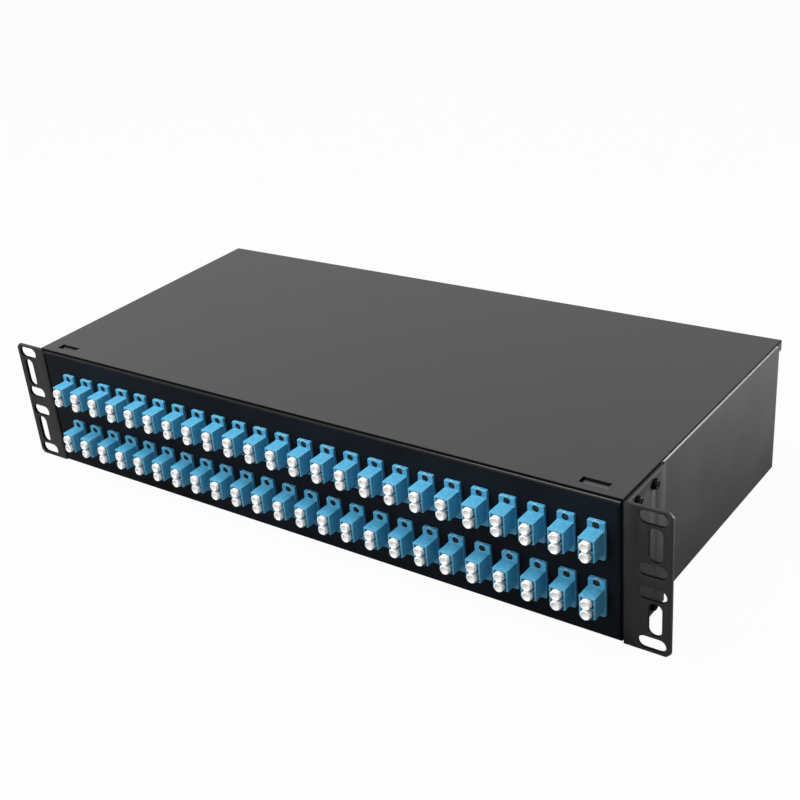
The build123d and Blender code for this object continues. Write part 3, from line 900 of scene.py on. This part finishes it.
def make_case():
    """Chassis, cover and front panel, all of coated sheet, with edges painted dark as shade where
    they show.
    """
    chassis = coated_copy("chassis_tray", "chassis_folded_sheet", radius=0.15)
    hand_over(chassis, case_coat, "black_powder_coat", "case", "chassis_tray")
    # The chassis walls' front edges, in the gap between panel and ears, are painted dark as shade
    paint_faces(chassis, edge_painted_as_shade, lambda p: p.normal.y < -0.5 and p.center.y < 0)
    cover = coated_copy("top_cover", "cover_folded_sheet", radius=0.12)
    hand_over(cover, case_coat, "black_powder_coat", "cover", "top_cover")
    # In front of the rear lip every upright face of the cover is painted dark as shade
    lip_start_y = (COVER_REAR_Y - 3) * MM
    paint_faces(cover, edge_painted_as_shade, lambda p: abs(p.normal.z) < 0.5 and p.center.y < lip_start_y)
    # The pressed hooks lie below the sheet; their upturned faces get the darker coat as painted
    # shade
    hook_z = (COVER_TOP_Z - 1.3) * MM

    def on_hook(face):
        return face.normal.z > 0.3 and face.center.z < hook_z and face.center.y < lip_start_y

    paint_faces(cover, darker_coat_as_shade, on_hook)
    panel = coated_copy("front_panel", "front_panel_sheet", radius=0.1)
    hand_over(panel, panel_coat, "black_powder_coat", "case", "front_panel")
    # The fold at the top gets the glossier coat, darkened as painted shade beside its bright line
    fold_z = 40 * MM
    paint_faces(panel, fold_coat_darkened_as_shade, lambda p: p.normal.z > 0.03 and p.center.z > fold_z)


make_case()


# Cable glands and earth stud in the rear wall


def make_gland(side):
    """One gland: its body with both threads, locknut, seal and dome nut."""
    name = "right" if side > 0 else "left"
    thread_radius, thread_pitch, bore_radius = 10, 1.5, 7
    collar_length, outer_length, inner_length = 5, 8, 12
    collar_rear_y = REAR_WALL_Y + collar_length

    def at(y):
        return (side * GLAND_X, y, GLAND_Z)

    collar_y = REAR_WALL_Y + collar_length / 2
    collar = hexagon(f"{name}_gland_body", at(collar_y), GLAND_FLATS, collar_length)
    cut(collar, rod("bore_cutter", at(REAR_WALL_Y), radius=bore_radius, length=40))
    outer_y = collar_rear_y + outer_length / 2
    inner_y = REAR_WALL_Y - inner_length / 2
    outer, inner = (
        threaded(part, at(y), thread_radius, length, thread_pitch, bore=bore_radius)
        for part, y, length in (
            ("outer_thread", outer_y, outer_length),
            ("inner_thread", inner_y, inner_length),
        )
    )
    body = join(f"{name}_gland_body", [collar, outer, inner])
    locknut_y = REAR_WALL_Y - 3.7
    locknut = hexagon(f"{name}_gland_locknut_ring", at(locknut_y), GLAND_FLATS, length=5)
    cut(locknut, rod("bore_cutter", at(REAR_WALL_Y), radius=thread_radius + 0.15, length=40))
    seal = rod(f"{name}_gland_seal_ring", at(collar_rear_y + 10.5), radius=8.6, length=5)
    round_edges(seal, runs_across("Y"), radius=0.8, segments=3)
    cut(seal, rod("bore_cutter", at(collar_rear_y), radius=6, length=60))
    # The dome nut: a grip with six flats and a round nose, hollow over the thread and the seal
    grip_y, nose_y, hollow_y, cable_y = (collar_rear_y + dy for dy in (5.3, 8.8, 7.7, 17))
    grip = hexagon(f"{name}_gland_dome", at(grip_y), GLAND_FLATS, length=10, chamfer=0.6)
    nose = rod("dome_nose", at(nose_y), radius=GLAND_FLATS / 2 - 0.2, length=17, sides=32)
    nose_rear_y = (collar_rear_y + 17.2) * MM
    round_edges(nose, lambda e: min(v.co.y for v in e.verts) > nose_rear_y, radius=3.4, segments=4)
    for shell in (grip, nose):
        cut(shell, rod("thread_cutter", at(hollow_y), radius=thread_radius + 0.2, length=15.2))
    cut(nose, rod("cable_cutter", at(cable_y), radius=6.8, length=12))
    dome = join(f"{name}_gland_dome", [grip, nose])
    for piece in (body, locknut, seal, dome):
        smooth(piece)
    dome_node = f"{name}_gland_dome_nut"
    hand_over(dome, nylon, "black_nylon", dome_node, dome_node)
    return body, locknut, seal


def make_glands():
    """Both glands, whose fixed parts are joined in pairs as the solids are."""
    pairs = zip(make_gland(-1), make_gland(1))
    names = ("gland_bodies_both", "gland_locknuts_both", "gland_seals_both")
    bodies, locknuts, seals = (join(name, pair) for name, pair in zip(names, pairs))
    hand_over(bodies, nylon, "black_nylon", "case", "gland_bodies")
    hand_over(locknuts, nylon, "black_nylon", "case", "gland_locknuts")
    hand_over(seals, seal_rubber, "seal_rubber", "case", "gland_seals")


def make_earth_stud():
    """Brass stud with its hexagon head inside the rear wall, a washer and a nut outside."""

    def at(y):
        return (EARTH_X, y, EARTH_Z)

    inner_y = REAR_WALL_Y - 1.2
    head = hexagon("earth_stud_head", at(inner_y - 2), EARTH_FLATS, length=4)
    thread = threaded("earth_thread", at(inner_y + 8), radius=3, length=16, pitch=1)
    stud = join("earth_stud_turned", [head, thread])
    smooth(stud)
    hand_over(stud, brass, "earth_brass", "case", "earth_stud")
    nut = hexagon("earth_nut_turned", at(REAR_WALL_Y + 2.9), EARTH_FLATS, length=4.2)
    washer = rod("earth_washer", at(REAR_WALL_Y + 0.4), radius=5.7, length=0.8)
    round_edges(washer, runs_across("Y"), radius=0.15, segments=1)
    for ring in (nut, washer):
        cut(ring, rod("bore_cutter", at(REAR_WALL_Y), radius=3.15, length=20))
    nut = join("earth_nut_turned", [nut, washer])
    smooth(nut)
    hand_over(nut, brass, "earth_brass", "case", "earth_nut")


make_glands()
make_earth_stud()


# Splice trays with their combs, covers, studs and nuts; anchors and fibre rings


def make_tray():
    """Right tray with fibre entries, keeper tabs, and two drums that the fibres bend around."""
    _, depth, height = TRAY_SIZE
    floor_z = TRAY_BASE_Z + TRAY_WALL
    middle = (TRAY_X, TRAY_Y, TRAY_BASE_Z + height / 2)
    tray = rounded_slab("right_tray_moulding", middle, TRAY_SIZE, TRAY_CORNER)
    push_faces(tray, faces_to((0, 0, 1)), TRAY_WALL, (0, 0, TRAY_WALL - height))
    entry_reach, entry_size = 62, (14, THROUGH, 20)
    for side in (-1, 1):
        for dy in (-depth / 2, depth / 2):
            entry = (TRAY_X + side * entry_reach, TRAY_Y + dy, floor_z + 10)
            cut(tray, block("entry_cutter", entry, entry_size))
        hole = (TRAY_X + side * STUD_REACH, TRAY_Y, TRAY_BASE_Z)
        cut(tray, rod("hole_cutter", hole, radius=1.8, length=THROUGH, axis="Z", sides=16))
    ease(tray, radius=0.3)
    drum_radius, drum_wall = 17, 1.6
    drum_place = (TRAY_X - STUD_REACH, TRAY_Y, floor_z + 3.9)
    drum = rod("fibre_drum", drum_place, drum_radius, length=8, axis="Z", sides=32)
    hollow = drum_radius - drum_wall
    hollow_place = (TRAY_X - STUD_REACH, TRAY_Y, floor_z)
    cut(drum, rod("drum_cutter", hollow_place, hollow, length=30, axis="Z", sides=32))
    ease(drum, radius=0.4)
    repeat(drum, 2, (2 * STUD_REACH, 0, 0))
    tab_reach, tab_inset = 30, 3.4
    tab_place = (TRAY_X - tab_reach, TRAY_Y - depth / 2 + tab_inset, TRAY_BASE_Z + height - 0.8)
    tab = block("keeper_tab", tab_place, (9, 4, 1.2))
    round_edges(tab, every, radius=0.4, segments=2)
    repeat(tab, 2, (2 * tab_reach, 0, 0))
    repeat(tab, 2, (0, depth - 2 * tab_inset, 0))
    tray = join("right_tray_moulding", [tray, drum, tab])
    smooth(tray)
    return tray


def make_comb():
    """Comb of seven teeth that holds the splices of the right tray."""
    floor_z = TRAY_BASE_Z + TRAY_WALL
    teeth, tooth_pitch, comb_depth = 7, 10, 26
    first_x = TRAY_X - tooth_pitch * (teeth - 1) / 2
    base = (TRAY_X, TRAY_Y, floor_z + 1)
    comb = block("right_comb_moulding", base, (63.4, comb_depth, 2))
    round_edges(comb, every, radius=0.3, segments=2)
    tooth = block("comb_tooth", (first_x, TRAY_Y, floor_z + 3.9), (2.4, comb_depth, 4.2))
    crown_z = (floor_z + 5.5) * MM
    round_edges(tooth, lambda e: min(v.co.z for v in e.verts) > crown_z, radius=0.8, segments=3)
    repeat(tooth, teeth, (tooth_pitch, 0, 0))
    comb = join("right_comb_moulding", [comb, tooth])
    smooth(comb)
    return comb


def make_clear_sheet():
    """Clear cover of the right tray, with a finger cut at either long side."""
    width, depth, height = TRAY_SIZE
    sheet_z = TRAY_BASE_Z + height + 0.95
    size = (width, depth, 1.5)
    lid = rounded_slab("right_tray_clear_sheet", (TRAY_X, TRAY_Y, sheet_z), size, TRAY_CORNER)
    for dy in (-depth / 2, depth / 2):
        place = (TRAY_X, TRAY_Y + dy, sheet_z)
        finger = rod("finger_cutter", place, radius=7, length=THROUGH, axis="Z", sides=32)
        cut(lid, finger)
    ease(lid, radius=0.2)
    smooth(lid)
    return lid


def make_trays():
    """The right tray, its comb and its clear cover; then the mirror of each."""
    tray, comb, lid = make_tray(), make_comb(), make_clear_sheet()
    for piece, kind, material, slot, body in (
        (tray, "splice_tray", tray_plastic, "grey_tray_plastic", "case"),
        (comb, "splice_comb", comb_plastic, "light_comb_plastic", "case"),
        (lid, "tray_cover", clear_cover, "clear_cover_plastic", None),
    ):
        twin = mirrored(piece, piece.name.replace("right", "left"))
        for tray_piece in (piece, twin):
            keep_flats_even(tray_piece)
        hand_over(piece, material, slot, body or "right_tray_cover", f"right_{kind}")
        hand_over(twin, material, slot, body or "left_tray_cover", f"left_{kind}")


def make_tray_fasteners():
    """Hexagon studs on the floor and the nuts that hold the trays, four of each."""
    nut_z = TRAY_BASE_Z + TRAY_WALL + 1.2

    def at(z):
        return (-TRAY_X - STUD_REACH, TRAY_Y, z)

    stud_z, thread_z = (FLOOR_TOP_Z + TRAY_BASE_Z) / 2, TRAY_BASE_Z + 3.5
    stud = hexagon("tray_stud_set", at(stud_z), flats=8, length=6, axis="Z", chamfer=0.4)
    thread = threaded("stud_thread", at(thread_z), radius=1.5, length=7, pitch=0.7, axis="Z")
    stud = join("tray_stud_set", [stud, thread])
    nut = hexagon("tray_nut_set", at(nut_z), flats=5.5, length=2.4, axis="Z", chamfer=0.3)
    cut(nut, rod("bore_cutter", at(TRAY_BASE_Z), radius=1.65, length=20, axis="Z", sides=16))
    for piece, node in ((stud, "tray_studs"), (nut, "tray_nuts")):
        smooth(piece)
        repeat(piece, 2, (2 * STUD_REACH, 0, 0))
        repeat(piece, 2, (2 * TRAY_X, 0, 0))
        hand_over(piece, zinc_steel, "zinc_steel", "case", node)


def make_anchors_and_rings():
    """Bent zinc brackets that the cables are tied to, and the nylon rings on the floor."""
    for side in ("left", "right"):
        anchor = coated_copy(f"{side}_cable_anchor", f"{side}_anchor_bracket", radius=0.2)
        hand_over(anchor, zinc_steel, "zinc_steel", "case", f"{side}_cable_anchor")
    rings = coated_copy("fibre_rings", "fibre_ring_mouldings", radius=0.5)
    hand_over(rings, nylon, "black_nylon", "case", "fibre_rings")


make_trays()
make_tray_fasteners()
make_anchors_and_rings()


# Floor, air and lamps, in metres


def make_floor():
    """Paper floor: grey for the light that it throws back, nearly white to the camera."""
    bpy.ops.object.select_all(action="DESELECT")
    bpy.ops.mesh.primitive_plane_add(size=12, location=(0, 0, BASE_Z * MM))
    floor = bpy.context.object
    floor.name = "floor"
    material = bpy.data.materials.new("white_paper_floor")
    material.use_nodes = True
    tree = material.node_tree
    tree.nodes.clear()
    path = add_node(tree, "ShaderNodeLightPath").outputs
    paper = add_node(tree, "ShaderNodeBsdfDiffuse", {"Color": srgb("#9a9a9a")})
    glow = add_node(tree, "ShaderNodeEmission", {"Color": srgb("#ffffff"), "Strength": 1.0})
    # Seen by the camera, or by it through a clear cover
    seen = add_node(
        tree,
        "ShaderNodeMath",
        {"operation": "MAXIMUM"},
        {0: path["Is Camera Ray"], 1: path["Is Transmission Ray"]},
    )
    # A rest of 3% stays paper, which keeps a faint shadow
    share = add_node(tree, "ShaderNodeMath", {"operation": "MULTIPLY"}, {0: seen.outputs[0]})
    share.inputs[1].default_value = 0.97
    mix = add_node(
        tree,
        "ShaderNodeMixShader",
        links={"Fac": share.outputs[0], 1: paper.outputs["BSDF"], 2: glow.outputs["Emission"]},
    )
    add_node(tree, "ShaderNodeOutputMaterial", links={"Surface": mix.outputs["Shader"]})
    floor.data.materials.append(material)


def make_air():
    """Even pale studio air; white where the camera, a reflection or a clear cover shows it."""
    world = bpy.data.worlds.new("studio")
    bpy.context.scene.world = world
    world.use_nodes = True
    tree = world.node_tree
    tree.nodes.clear()
    path = add_node(tree, "ShaderNodeLightPath").outputs
    seen = add_node(
        tree,
        "ShaderNodeMath",
        {"operation": "MAXIMUM"},
        {0: path["Is Camera Ray"], 1: path["Is Glossy Ray"]},
    )
    shown = add_node(
        tree,
        "ShaderNodeMath",
        {"operation": "MAXIMUM"},
        {0: seen.outputs[0], 1: path["Is Transmission Ray"]},
    )
    air = add_node(tree, "ShaderNodeBackground", {"Color": srgb("#ffffff"), "Strength": 0.2})
    white = add_node(tree, "ShaderNodeBackground", {"Color": srgb("#ffffff"), "Strength": 1.0})
    mix = add_node(
        tree,
        "ShaderNodeMixShader",
        links={
            "Fac": shown.outputs[0],
            1: air.outputs["Background"],
            2: white.outputs["Background"],
        },
    )
    add_node(tree, "ShaderNodeOutputWorld", links={"Surface": mix.outputs["Shader"]})


def make_lamp(name, place, target, width, height, watts):
    """Soft box that shines from a place towards a target; the camera doesn't see it."""
    lamp_data = bpy.data.lights.new(name, "AREA")
    lamp_data.shape = "RECTANGLE"
    lamp_data.size = width
    lamp_data.size_y = height
    lamp_data.energy = watts
    lamp = bpy.data.objects.new(name, lamp_data)
    lamp.visible_camera = False
    lamp.location = place
    lamp.rotation_euler = (Vector(target) - Vector(place)).to_track_quat("-Z", "Y").to_euler()
    bpy.context.collection.objects.link(lamp)


make_floor()
make_air()
make_lamp(
    "soft_box_above",
    place=(-0.6, -0.35, 1.5), target=(-0.05, 0.05, 0), width=1.0, height=1.0, watts=32,
)
make_lamp(
    "soft_box_front",
    place=(-0.05, -1.5, 0.6), target=(0, 0, 0), width=0.7, height=0.7, watts=6,
)
# Draws the bright line along the fold of the front plate
make_lamp(
    "strip_box_front_left",
    place=(-0.44, -1.13, 0.97), target=(0.2, 0, 0.04), width=0.5, height=0.25, watts=4.5,
)
# Lights the case's right side and the right ear's flange
make_lamp(
    "soft_box_right",
    place=(0.72, 0.6, 0.1), target=(0.215, 0.24, 0), width=0.3, height=0.2, watts=7.4,
)
